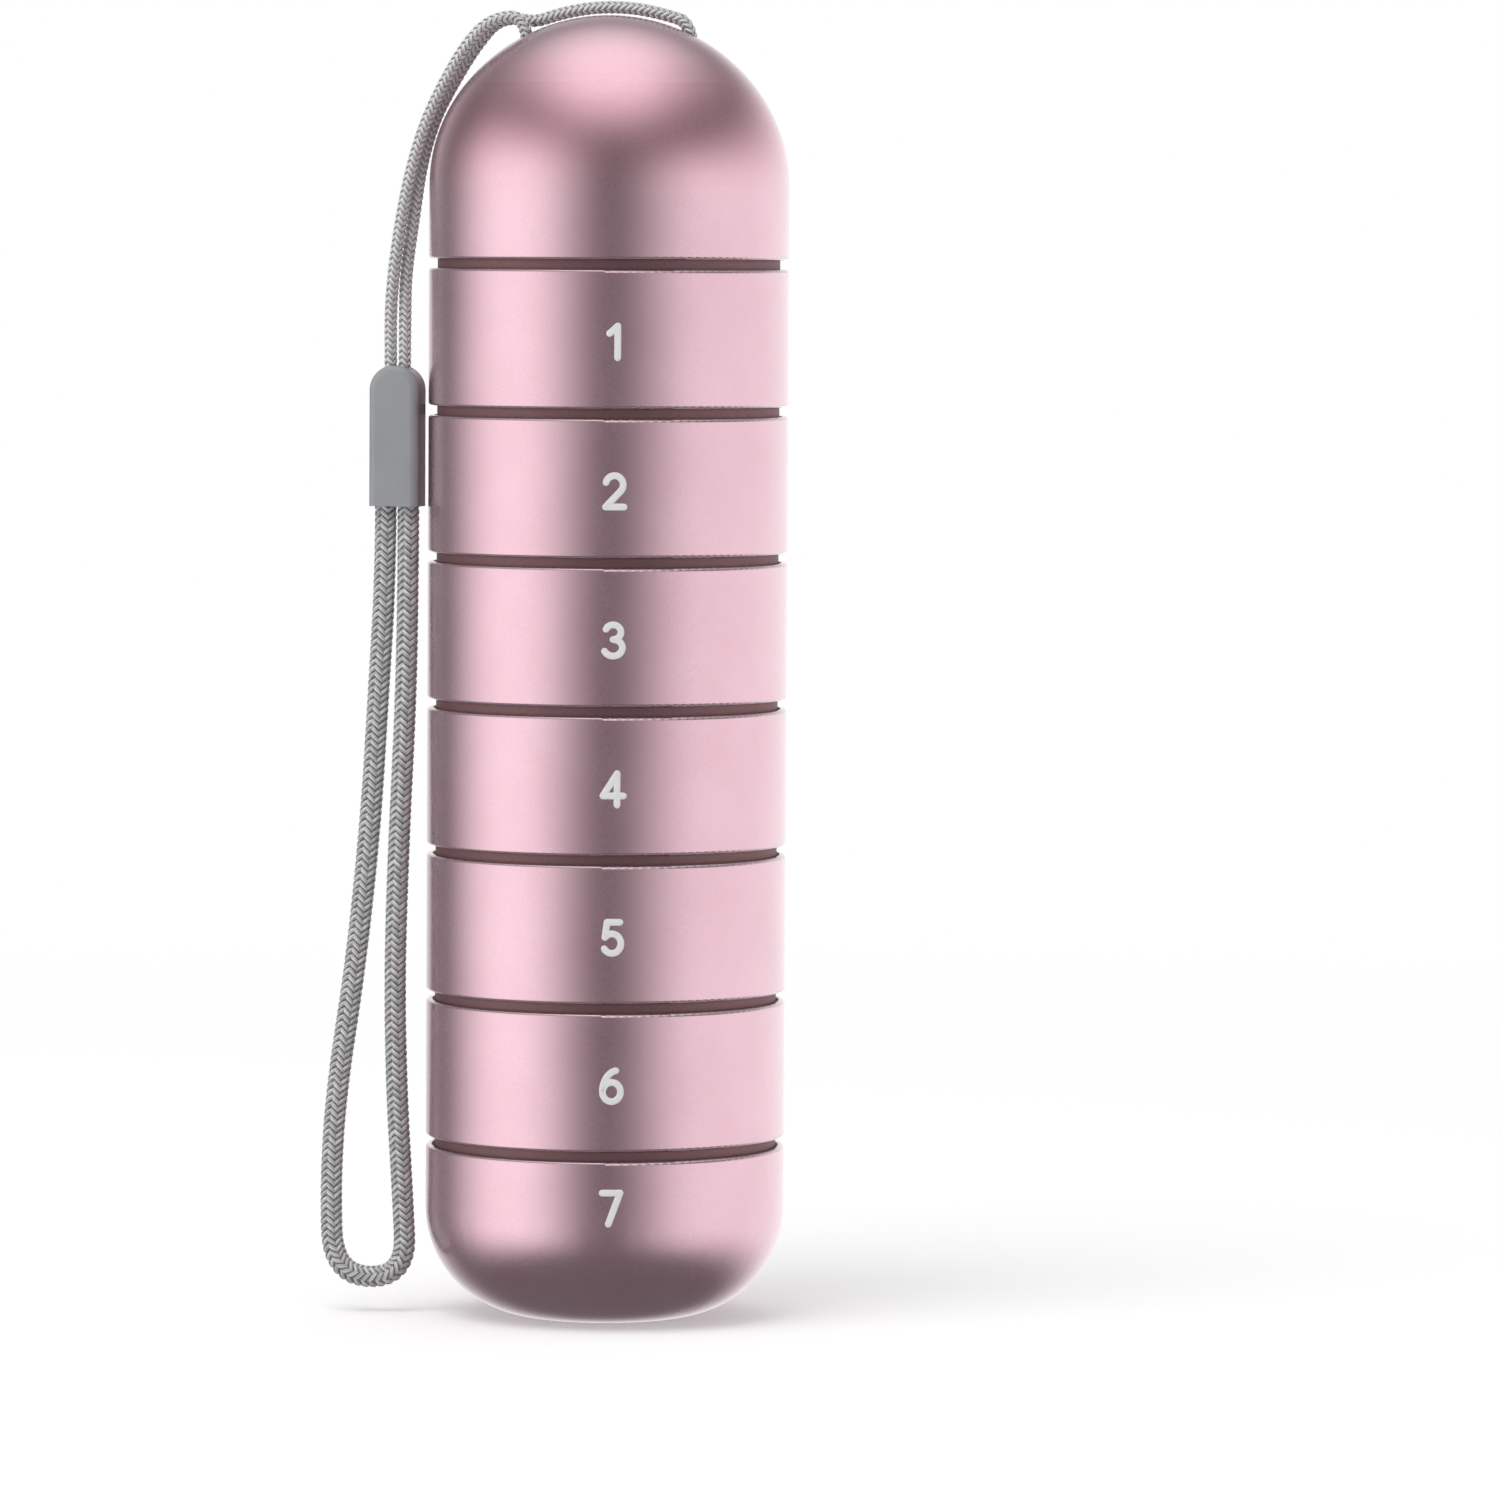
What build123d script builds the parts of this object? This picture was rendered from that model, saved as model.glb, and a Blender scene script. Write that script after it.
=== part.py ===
"""Weekly pill box: seven round compartments and a domed cap that screw together into one column.

Millimetres, +Z up. The origin is the centre of the foot, on the table. The column's axis is Z, and -Y is the
front, where the day numbers are printed. Each compartment carries a threaded neck, and each piece above it a
threaded socket that closes it on a soft ring. A string through the crown of the cap holds a wrist loop.
"""

from build123d import *
import math
import os

os.makedirs("parts", exist_ok=True)

# Column
day_count = 7
outer_diameter = 45.0
cup_height = 17.1
base_height = 21.5
base_corner_radius = 13.8
groove_height = 1.2
groove_depth = 1.1
edge_radius = 0.4

# Compartments
floor_thickness = 1.3
cavity_corner_radius = 2.0
base_floor_thickness = 2.0
base_cavity_corner_radius = 10.0

# Necks and their thread
neck_height = 5.4
neck_wall = 1.1
rim_radius = 0.25
thread_inset = 1.75
thread_depth = 0.45
thread_pitch = 0.8
thread_lead_in = 0.75
thread_turns = 3.5
socket_thread_turns = 3
thread_flank_angle = 20
thread_clearance = 0.15
flank_clearance = 0.1
thread_sink = 0.1

# Sealing rings
seal_thickness = 0.8
seal_inset = 0.15

# Cap
cap_wall_height = 9.0
dome_rise = 21.4
dome_side_share = 0.953
crown_thickness = 2.0
liner_thickness = 1.5
liner_clearance = 0.05
string_hole_spacing = 20.4
string_hole_diameter = 3.0

# Strap
string_diameter = 1.7
loop_diameter = 2.8
cord_gap = 0.15
bore_clearance = 0.1
sleeve_width = 6.5
sleeve_depth = 4.4
sleeve_length = 17.6
sleeve_bottom = 101.5
sleeve_gap = 0.4
sleeve_yaw = 15
sleeve_top_radius = 3.1
sleeve_edge_radius = 1.0
cord_insert = 4.5
string_lead = 4.9
loop_lead = 8.3
string_fold_radius = 2.1
bend_run_share = 0.45

# Sizes that follow from these
outer_radius = outer_diameter / 2
land_radius = outer_radius - groove_depth
thread_radius = outer_radius - thread_inset
neck_radius = thread_radius - thread_depth
cavity_radius = neck_radius - neck_wall
socket_radius = thread_radius + thread_clearance
socket_thread_radius = neck_radius + thread_clearance
flank_slope = math.tan(math.radians(thread_flank_angle))
thread_engagement = thread_radius - socket_thread_radius
crest_width = thread_pitch / 2 - thread_engagement * flank_slope - flank_clearance
socket_depth = neck_height - groove_height + seal_thickness
cup_pitch = cup_height + groove_height
top_shoulder = base_height + (day_count - 1) * cup_pitch
cap_bottom = top_shoulder + groove_height
cap_ceiling = cap_bottom + socket_depth
liner_seat = cap_ceiling + liner_thickness
dome_spring = cap_bottom + cap_wall_height
cap_top = dome_spring + dome_rise
sleeve_top = sleeve_bottom + sleeve_length
string_pitch = string_diameter + cord_gap
loop_pitch = loop_diameter + cord_gap


def thread_ridge(wall_radius, tip_radius, start_height, turns):
    """A right-hand helical ridge on a round wall, outward or inward, with its foot sunk into the wall."""
    outward = math.copysign(1, tip_radius - wall_radius)
    foot_radius = wall_radius - outward * thread_sink
    rise = abs(tip_radius - foot_radius)
    tip_half = crest_width / 2
    foot_half = tip_half + rise * flank_slope
    with BuildPart() as ridge:
        with BuildLine():
            coil = Helix(thread_pitch, turns * thread_pitch, foot_radius, center=(0, 0, start_height))
        with BuildSketch(Plane(origin=coil @ 0, x_dir=(outward, 0, 0), z_dir=(0, 1, 0))):
            with BuildLine():
                Polyline((0, -foot_half), (rise, -tip_half), (rise, tip_half), (0, foot_half), close=True)
            make_face()
        sweep(path=coil, is_frenet=True)
    return ridge.part


def neck_thread(shoulder):
    """The ridge round the neck that stands on a shoulder."""
    return thread_ridge(neck_radius, thread_radius, shoulder + groove_height + thread_lead_in, thread_turns)


def socket_thread(skirt_edge):
    """The ridge inside a socket, half a pitch above the one that it runs on."""
    start_height = skirt_edge + thread_lead_in + thread_pitch / 2
    return thread_ridge(socket_radius, socket_thread_radius, start_height, socket_thread_turns)


def neck_outline(shoulder):
    """The half-section's points from the shoulder's outer edge over the neck to its inner rim."""
    return [
        (outer_radius, shoulder),
        (land_radius, shoulder),
        (land_radius, shoulder + groove_height),
        (neck_radius, shoulder + groove_height),
        (neck_radius, shoulder + neck_height),
        (cavity_radius, shoulder + neck_height),
    ]


# Compartment with a socket below and a neck above, its shoulder at height zero
skirt_edge = -cup_height
cup_ceiling = skirt_edge + socket_depth
cup_floor = cup_ceiling + floor_thickness
with BuildPart() as cup_shape:
    with BuildSketch(Plane.XZ) as cup_section:
        with BuildLine():
            Polyline(
                (0, cup_ceiling),
                (socket_radius, cup_ceiling),
                (socket_radius, skirt_edge),
                (outer_radius, skirt_edge),
                *neck_outline(0),
                (cavity_radius, cup_floor),
                (0, cup_floor),
                close=True,
            )
        make_face()
        fillet(cup_section.vertices().group_by(Axis.X)[-1], edge_radius)
        fillet(cup_section.vertices().group_by(Axis.Y)[-1], rim_radius)
        fillet(cup_section.vertices().sort_by_distance((cavity_radius, cup_floor))[0], cavity_corner_radius)
    revolve(axis=Axis.Z)
    add(neck_thread(0))
    add(socket_thread(skirt_edge))

# The six compartments that hang above the base, counted from the top
for day in range(1, day_count):
    with BuildPart() as day_cup:
        with Locations((0, 0, top_shoulder - (day - 1) * cup_pitch)):
            add(cup_shape.part)
    day_cup.part.label = f"day_{day}_cup"
    export_step(day_cup.part, f"parts/day_{day}_cup.step")

# Lowest compartment, with the rounded foot
with BuildPart() as day_base:
    with BuildSketch(Plane.XZ) as base_section:
        with BuildLine():
            Polyline(
                (0, 0),
                (outer_radius, 0),
                *neck_outline(base_height),
                (cavity_radius, base_floor_thickness),
                (0, base_floor_thickness),
                close=True,
            )
        make_face()
        fillet(base_section.vertices().sort_by_distance((outer_radius, 0))[0], base_corner_radius)
        fillet(base_section.vertices().sort_by_distance((outer_radius, base_height))[0], edge_radius)
        fillet(base_section.vertices().group_by(Axis.Y)[-1], rim_radius)
        inner_corner = base_section.vertices().sort_by_distance((cavity_radius, base_floor_thickness))[0]
        fillet(inner_corner, base_cavity_corner_radius)
    revolve(axis=Axis.Z)
    add(neck_thread(base_height))
day_base.part.label = f"day_{day_count}_base"
export_step(day_base.part, f"parts/day_{day_count}_base.step")


def dome_arcs(half_width, rise):
    """Two tangent arcs in the open BuildLine, close to a quarter ellipse, from the dome's spring to its crown."""
    side_radius = rise * dome_side_share if rise < half_width else rise / dome_side_share
    side_x = half_width - side_radius
    crown_radius = (side_x**2 + rise**2 - side_radius**2) / (2 * (rise - side_radius))
    crown_z = dome_spring + rise - crown_radius
    join_angle = math.degrees(math.atan2(abs(dome_spring - crown_z), abs(side_x)))
    CenterArc((side_x, dome_spring), side_radius, 0, join_angle)
    CenterArc((0, crown_z), crown_radius, join_angle, 90 - join_angle)


# Domed cap, hollow for the string, with two holes in its crown
with BuildPart() as cap_dome:
    with BuildSketch(Plane.XZ) as cap_section:
        with BuildLine():
            Polyline(
                (cavity_radius, dome_spring),
                (cavity_radius, liner_seat),
                (neck_radius + liner_clearance, liner_seat),
                (neck_radius + liner_clearance, cap_ceiling),
                (socket_radius, cap_ceiling),
                (socket_radius, cap_bottom),
                (outer_radius, cap_bottom),
                (outer_radius, dome_spring),
            )
            dome_arcs(outer_radius, dome_rise)
            Line((0, cap_top), (0, cap_top - crown_thickness))
            dome_arcs(cavity_radius, dome_rise - crown_thickness)
        make_face()
        fillet(cap_section.vertices().sort_by_distance((outer_radius, cap_bottom))[0], edge_radius)
    revolve(axis=Axis.Z)
    with Locations((string_hole_spacing / 2, 0, cap_top), (-string_hole_spacing / 2, 0, cap_top)):
        Hole(string_hole_diameter / 2, depth=dome_rise)
    add(socket_thread(cap_bottom))
cap_dome.part.label = "cap_dome"
export_step(cap_dome.part, "parts/cap_dome.step")

# Disc that shuts the string's chamber off from the compartment below
with BuildPart() as cap_liner:
    with BuildSketch(Plane.XY.offset(cap_ceiling)):
        Circle(neck_radius)
    extrude(amount=liner_thickness)
cap_liner.part.label = "cap_liner"
export_step(cap_liner.part, "parts/cap_liner.step")

# Soft rings between each neck's rim and the socket's ceiling above it
seal_names = ["cap_seal"] + [f"day_{day}_seal" for day in range(1, day_count)]
for level, seal_name in enumerate(seal_names):
    rim_height = top_shoulder - level * cup_pitch + neck_height
    with BuildPart() as seal:
        with BuildSketch(Plane.XY.offset(rim_height)):
            Circle(neck_radius - seal_inset)
            Circle(cavity_radius + seal_inset, mode=Mode.SUBTRACT)
        extrude(amount=seal_thickness)
    seal.part.label = seal_name
    export_step(seal.part, f"parts/{seal_name}.step")

# Sleeve that joins the string to the wrist loop, hanging just off the column's side
yaw_cos = math.cos(math.radians(sleeve_yaw))
yaw_sin = math.sin(math.radians(sleeve_yaw))
flat_half = sleeve_width / 2 - sleeve_edge_radius
flank_half = sleeve_depth / 2 - sleeve_edge_radius
sleeve_reach = flat_half * yaw_cos + flank_half * yaw_sin + sleeve_edge_radius
sleeve_x = -(outer_radius + sleeve_gap + sleeve_reach)
sleeve_across = (yaw_cos, -yaw_sin, 0)
sleeve_mouth = Plane(origin=(sleeve_x, 0, sleeve_bottom), x_dir=sleeve_across, z_dir=(0, 0, 1))
sleeve_front = Plane(origin=(sleeve_x, 0, sleeve_bottom), x_dir=sleeve_across, z_dir=(-yaw_sin, -yaw_cos, 0))
with BuildPart() as strap_sleeve:
    with BuildSketch(sleeve_front) as sleeve_outline:
        Rectangle(sleeve_width, sleeve_length, align=(Align.CENTER, Align.MIN))
        fillet(sleeve_outline.vertices().group_by(Axis.Y)[-1], sleeve_top_radius)
    extrude(amount=sleeve_depth / 2, both=True)
    outline_edges = strap_sleeve.edges().filter_by(Axis((0, 0, 0), sleeve_front.z_dir), reverse=True)
    fillet(outline_edges - outline_edges.group_by(Axis.Z)[0], sleeve_edge_radius)
    with BuildSketch(sleeve_mouth):
        SlotCenterToCenter(loop_pitch, loop_diameter + bore_clearance)
    extrude(amount=cord_insert, mode=Mode.SUBTRACT)
    with BuildSketch(sleeve_mouth.offset(sleeve_length)):
        with GridLocations(string_pitch, 0, 2, 1):
            Circle((string_diameter + bore_clearance) / 2)
    extrude(amount=-cord_insert, mode=Mode.SUBTRACT)
strap_sleeve.part.label = "strap_sleeve"
export_step(strap_sleeve.part, "parts/strap_sleeve.step")


def beside_sleeve(pitch, side, height):
    """A point on one of the two cords in the sleeve, on its left (-1) or right (1), at a height."""
    across = side * pitch / 2
    return (sleeve_x + across * yaw_cos, -across * yaw_sin, height)


def bend_radii(route, fold_radius, folds):
    """The radius at each inner point: as large as its two runs allow, or the fold's where the cord folds."""
    radii = []
    for index in range(1, len(route) - 1):
        before = Vector(route[index]) - Vector(route[index - 1])
        after = Vector(route[index + 1]) - Vector(route[index])
        half_turn = math.radians(before.get_angle(after)) / 2
        largest = bend_run_share * min(before.length, after.length) / math.tan(half_turn)
        radii.append(min(largest, fold_radius) if index in folds else largest)
    return radii


def cord_tube(name, route, diameter, fold_radius=0, folds=()):
    """A round cord along straight runs and tangent arcs, written to its file, with its figures printed."""
    radii = bend_radii(route, fold_radius, folds)
    with BuildPart() as cord:
        with BuildLine():
            middle = FilletPolyline(*route, radius=radii)
        with BuildSketch(Plane(origin=middle @ 0, z_dir=middle % 0)):
            Circle(diameter / 2)
        sweep(path=middle)
    expected = math.pi * diameter**2 / 4 * middle.length
    print(name, "length", round(middle.length, 1), "volume share", round(cord.part.volume / expected, 4))
    print(name, "bend radii", [round(radius, 1) for radius in radii])
    cord.part.label = name
    export_step(cord.part, f"parts/{name}.step")


# Thin string: up the left side, down the left hole, under the crown, out of the right hole and back over it
string_route = [
    beside_sleeve(string_pitch, -1, sleeve_top - cord_insert),
    beside_sleeve(string_pitch, -1, sleeve_top + string_lead),
    (-27.0, 0.0, 132.0),
    (-25.9, -0.3, 138.5),
    (-24.6, -0.5, 144.3),
    (-22.8, -0.5, 150.0),
    (-20.3, -0.3, 155.2),
    (-17.6, -0.1, 159.7),
    (-14.7, 0.0, 162.5),
    (-10.4, 0.0, 162.8),
    (-10.2, 0.0, 155.0),
    (0.0, 0.0, 153.9),
    (10.2, 0.0, 155.0),
    (10.2, 0.0, 162.0),
    (6.8, 0.2, 163.05),
    (3.6, 0.5, 163.75),
    (0.0, 0.9, 164.0),
    (-3.6, 1.3, 163.7),
    (-7.0, 1.7, 162.9),
    (-9.5, 1.95, 162.05),
    (-12.3, 1.95, 162.6),
    (-14.4, 1.95, 161.9),
    (-16.2, 1.9, 159.8),
    (-17.9, 1.7, 157.3),
    (-19.7, 1.5, 154.2),
    (-21.9, 1.2, 150.0),
    (-23.5, 1.0, 144.3),
    (-24.0, 0.6, 138.5),
    (-25.0, 0.3, 132.0),
    beside_sleeve(string_pitch, 1, sleeve_top + string_lead),
    beside_sleeve(string_pitch, 1, sleeve_top - cord_insert),
]
cord_tube("cap_string", string_route, string_diameter, string_fold_radius, folds=(9, 13))

# Wrist loop: a thicker cord that hangs from the sleeve nearly to the table and comes back
loop_route = [
    beside_sleeve(loop_pitch, -1, sleeve_bottom + cord_insert),
    beside_sleeve(loop_pitch, -1, sleeve_bottom - loop_lead),
    (-28.7, 0.8, 78.0),
    (-29.6, 0.8, 62.0),
    (-31.4, 0.5, 44.0),
    (-33.8, 0.2, 28.0),
    (-34.5, 0.1, 16.0),
    (-34.1, 0.0, 4.6),
    (-24.9, -0.2, 4.4),
    (-25.4, -0.3, 15.0),
    (-26.2, -0.4, 28.0),
    (-26.5, -0.5, 43.0),
    (-26.0, -0.6, 60.0),
    (-25.2, -0.6, 77.0),
    beside_sleeve(loop_pitch, 1, sleeve_bottom - loop_lead),
    beside_sleeve(loop_pitch, 1, sleeve_bottom + cord_insert),
]
cord_tube("wrist_loop", loop_route, loop_diameter)
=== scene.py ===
"""Weekly pill box: seven day compartments and a domed cap, screwed into one column, with a wrist strap.

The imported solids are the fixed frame. This script gives the metal, silicone and plastic pieces their finishes,
prints a plain number on each compartment, braids the string and the wrist loop along their routes, and sets up
the studio. All lengths are in metres, in the frame of the solids: +Z is up, and the front is on the -Y side.
"""

import logging
import math
from dataclasses import dataclass, field
from enum import Enum
from typing import Iterable, Sequence, Union

import bmesh
import bpy
from mathutils import Matrix, Vector


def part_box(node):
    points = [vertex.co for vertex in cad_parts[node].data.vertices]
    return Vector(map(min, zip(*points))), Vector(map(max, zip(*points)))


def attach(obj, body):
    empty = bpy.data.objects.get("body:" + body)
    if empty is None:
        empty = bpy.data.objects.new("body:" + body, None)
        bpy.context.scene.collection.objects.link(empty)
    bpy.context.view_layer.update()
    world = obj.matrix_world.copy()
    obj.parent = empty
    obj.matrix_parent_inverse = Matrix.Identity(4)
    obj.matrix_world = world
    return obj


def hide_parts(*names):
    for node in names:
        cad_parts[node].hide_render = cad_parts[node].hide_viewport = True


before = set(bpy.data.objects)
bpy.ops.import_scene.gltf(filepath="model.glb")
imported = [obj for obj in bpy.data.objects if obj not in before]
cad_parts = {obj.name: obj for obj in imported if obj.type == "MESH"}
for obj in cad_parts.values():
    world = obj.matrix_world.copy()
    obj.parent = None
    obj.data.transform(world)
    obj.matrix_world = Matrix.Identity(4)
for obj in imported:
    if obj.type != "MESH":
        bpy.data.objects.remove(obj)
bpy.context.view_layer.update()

LOG = logging.getLogger("pill_box")
MM = 0.001

Colour = tuple[float, float, float]
Point = tuple[float, float, float]
Flat = tuple[float, float]
Span = tuple[float, float]
Term = Union[float, int, Colour, bpy.types.NodeSocket]
Shape = Union[bpy.types.Mesh, bpy.types.Curve]

# Most values of a noise texture lie in this range.
MOST_NOISE: Span = (0.3, 0.7)


class Way(Enum):
    """The two ways in which the strands of a braid wind round it."""

    RIGHT = 1.0
    LEFT = -1.0


class Wiring:
    """Adds, sets and joins the nodes of one tree."""

    def __init__(self, tree: bpy.types.NodeTree) -> None:
        """Starts with an empty tree."""
        self.tree = tree
        tree.nodes.clear()

    def feed(self, socket: bpy.types.NodeSocket, value: object) -> None:
        """Joins another node's output to an input, or sets the input's own value.

        Args:
            socket: The input.
            value: An output socket to join, or a plain value.
        """
        if isinstance(value, bpy.types.NodeSocket):
            self.tree.links.new(value, socket)
        else:
            socket.default_value = value

    def add(
        self, kind: str, inputs: dict[str | int, object] | None = None, **settings: object
    ) -> bpy.types.Node:
        """Adds one node.

        Args:
            kind: Blender's name of the node type.
            inputs: Values or sockets for the inputs, by name or place.
            **settings: Properties of the node itself.

        Returns:
            The new node.
        """
        node = self.tree.nodes.new(kind)
        for name, value in settings.items():
            setattr(node, name, value)
        for name, value in (inputs or {}).items():
            self.feed(node.inputs[name], value)
        return node

    def math(self, operation: str, *terms: Term) -> bpy.types.NodeSocket:
        """Adds a Math node.

        Args:
            operation: The node's operation.
            *terms: Its values or sockets, in order.

        Returns:
            The result's socket.
        """
        node = self.add("ShaderNodeMath", operation=operation)
        for socket, term in zip(node.inputs, terms):
            self.feed(socket, term)
        return node.outputs[0]

    def vector(self, operation: str, *terms: Term) -> bpy.types.NodeSocket:
        """Adds a Vector Math node with a vector result.

        Args:
            operation: The node's operation.
            *terms: Its values or sockets, in order; for SCALE the second one is the factor.

        Returns:
            The result's socket.
        """
        node = self.add("ShaderNodeVectorMath", operation=operation)
        sockets = [node.inputs[0], node.inputs["Scale"]] if operation == "SCALE" else node.inputs
        for socket, term in zip(sockets, terms):
            self.feed(socket, term)
        return node.outputs["Vector"]

    def ease(
        self, value: Term, start: Term, end: Term, low: Term = 0.0, high: Term = 1.0
    ) -> bpy.types.NodeSocket:
        """Adds a smooth step.

        Args:
            value: What is mapped.
            start: Where the step starts.
            end: Where the step ends.
            low: The result before the step.
            high: The result after the step.

        Returns:
            The result's socket.
        """
        inputs = {"Value": value, "From Min": start, "From Max": end, "To Min": low, "To Max": high}
        return self.add("ShaderNodeMapRange", inputs, interpolation_type="SMOOTHSTEP").outputs["Result"]

    def noise(self, grain: float, detail: float, where: bpy.types.NodeSocket) -> bpy.types.NodeSocket:
        """Adds a noise texture.

        Args:
            grain: The size of its spots.
            detail: How many finer layers it has.
            where: The coordinates.

        Returns:
            The noise's value, from 0 to 1.
        """
        inputs = {"Vector": where, "Scale": 1.0 / grain, "Detail": detail}
        return self.add("ShaderNodeTexNoise", inputs).outputs[0]

    def blend(self, share: Term, first: Term, second: Term) -> bpy.types.NodeSocket:
        """Mixes two colours.

        Args:
            share: How much of the second one shows.
            first: A colour or its socket.
            second: A colour or its socket.

        Returns:
            The mixed colour's socket.
        """
        node = self.add("ShaderNodeMix", data_type="RGBA")
        self.feed(node.inputs["Factor"], share)
        for socket, colour in ((node.inputs[6], first), (node.inputs[7], second)):
            self.feed(socket, colour if isinstance(colour, bpy.types.NodeSocket) else (*colour, 1.0))
        return node.outputs[2]


@dataclass(frozen=True)
class Finish:
    """One surface finish, made as a node material."""

    name: str

    def material(self) -> bpy.types.Material:
        """Makes the material.

        Returns:
            A material with a Principled shader that dress() has finished.
        """
        material = bpy.data.materials.new(self.name)
        material.use_nodes = True
        wires = Wiring(material.node_tree)
        shader = wires.add("ShaderNodeBsdfPrincipled")
        wires.add("ShaderNodeOutputMaterial", {"Surface": shader.outputs["BSDF"]})
        self.dress(wires, shader)
        return material

    def dress(self, wires: Wiring, shader: bpy.types.Node) -> None:
        """Sets the shader's sockets and the textures that feed them.

        Args:
            wires: The material's tree.
            shader: Its Principled shader.
        """
        raise NotImplementedError

    def settle(self, wires: Wiring, shader: bpy.types.Node, values: dict[str, object]) -> None:
        """Sets several of the shader's inputs."""
        for name, value in values.items():
            wires.feed(shader.inputs[name], value)

    def roughen(
        self,
        wires: Wiring,
        shader: bpy.types.Node,
        height: bpy.types.NodeSocket,
        depth: float,
        strength: float,
    ) -> None:
        """Gives the shader a fine relief.

        Args:
            wires: The material's tree.
            shader: The shader that gets the relief.
            height: The relief's height, from 0 to 1.
            depth: How deep it is.
            strength: How much of it shows.
        """
        inputs = {"Height": height, "Distance": depth, "Strength": strength}
        wires.feed(shader.inputs["Normal"], wires.add("ShaderNodeBump", inputs).outputs["Normal"])


@dataclass(frozen=True)
class AnodisedMetal(Finish):
    """Bead-blasted aluminium, dyed pink under its clear oxide.

    Round the dome's shoulder the colour is deeper and redder; this is painted shade. The crests of the neck
    threads are worn bright, the edges beside the grooves carry a painted highlight in the same pale colour, and
    the turned bands at the bottom of the grooves are rougher, without clear oxide, and darkened with painted
    shade.
    """

    colour: Colour = (0.78, 0.465, 0.555)
    deep_colour: Colour = (0.74, 0.425, 0.515)
    # Painted shade: a deeper, redder colour round the dome's shoulder, rising and falling over these heights.
    shoulder_shade_colour: Colour = (0.785, 0.385, 0.48)
    shoulder_shade_rise: Span = (138 * MM, 150 * MM)
    shoulder_shade_fall: Span = (150 * MM, 162 * MM)
    # Pale colour of the worn thread crests, also painted on the edges beside the grooves as a highlight.
    worn_and_highlight_colour: Colour = (0.87, 0.74, 0.77)
    # Painted shade for the turned bands at the bottom of the grooves.
    band_shade_colour: Colour = (0.33, 0.195, 0.205)
    band_roughness: float = 0.35
    cloud_size: float = 11 * MM
    cloud_detail: float = 3.0
    grain_size: float = 0.26 * MM
    grain_detail: float = 2.0
    grain_depth: float = 0.006 * MM
    grain_strength: float = 0.5
    smooth: float = 0.27
    rough: float = 0.35
    oxide_index: float = 2.2
    oxide_weight: float = 1.0
    oxide_roughness: float = 0.2
    crests: Span = (20.67 * MM, 20.9 * MM)
    bands: Span = (21.0 * MM, 21.75 * MM)
    edges: Span = (21.95 * MM, 22.4 * MM)
    rim_fade: float = 0.06 * MM
    lowest_groove: float = 20.5 * MM
    highest_neck: float = 137.5 * MM

    def between(self, wires: Wiring, radius: bpy.types.NodeSocket, limits: Span) -> bpy.types.NodeSocket:
        """Finds a range of radii.

        Args:
            wires: The material's tree.
            radius: The distance from the column's axis.
            limits: The smallest and the largest radius.

        Returns:
            1 between the limits and 0 elsewhere, with soft borders.
        """
        risen = wires.ease(radius, limits[0] - self.rim_fade, limits[0] + self.rim_fade)
        fallen = wires.ease(radius, limits[1] - self.rim_fade, limits[1] + self.rim_fade, 1.0, 0.0)
        return wires.math("MULTIPLY", risen, fallen)

    def dress(self, wires: Wiring, shader: bpy.types.Node) -> None:
        """Clouds the dyed colour a little, deepens it round the dome's shoulder as painted shade, wears the
        thread crests, paints a highlight on the edges beside the grooves, makes the groove bands rougher and
        without coat with painted shade, and blasts the surface.

        Args:
            wires: The material's tree.
            shader: Its Principled shader.
        """
        where = wires.add("ShaderNodeTexCoord").outputs["Object"]
        clouds = wires.ease(wires.noise(self.cloud_size, self.cloud_detail, where), *MOST_NOISE)
        grain = wires.noise(self.grain_size, self.grain_detail, where)
        parts = wires.add("ShaderNodeSeparateXYZ", {"Vector": where}).outputs
        squares = [wires.math("POWER", parts[axis], 2.0) for axis in ("X", "Y")]
        radius = wires.math("SQRT", wires.math("ADD", *squares))
        above = wires.math("GREATER_THAN", parts["Z"], self.lowest_groove)
        turned = wires.math("MULTIPLY", above, wires.math("LESS_THAN", parts["Z"], self.highest_neck))
        crests, edges = self.between(wires, radius, self.crests), self.between(wires, radius, self.edges)
        # The thread crests are worn; on the edges beside the grooves the pale colour is a painted highlight.
        worn_and_highlight = wires.math("MULTIPLY", wires.math("ADD", crests, edges), turned)
        # The groove bands are rougher and without coat, and their colour is painted shade.
        dull_and_shaded = wires.math("MULTIPLY", self.between(wires, radius, self.bands), turned)
        # Painted shade round the dome's shoulder.
        risen = wires.ease(parts["Z"], *self.shoulder_shade_rise)
        shoulder = wires.math("MULTIPLY", risen, wires.ease(parts["Z"], *self.shoulder_shade_fall, 1.0, 0.0))
        dye_and_shoulder_shade = wires.blend(shoulder, wires.blend(clouds, self.colour, self.deep_colour), self.shoulder_shade_colour)
        blasted = wires.ease(grain, *MOST_NOISE, self.smooth, self.rough)
        self.settle(wires, shader, {
            "Base Color": wires.blend(dull_and_shaded, wires.blend(worn_and_highlight, dye_and_shoulder_shade, self.worn_and_highlight_colour), self.band_shade_colour),
            "Metallic": 1.0,
            "Roughness": wires.math("ADD", blasted, wires.math("MULTIPLY", dull_and_shaded, self.band_roughness)),
            "Coat Weight": wires.math("SUBTRACT", self.oxide_weight, dull_and_shaded),
            "Coat IOR": self.oxide_index,
            "Coat Roughness": self.oxide_roughness,
        })
        self.roughen(wires, shader, grain, self.grain_depth, self.grain_strength)


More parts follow.
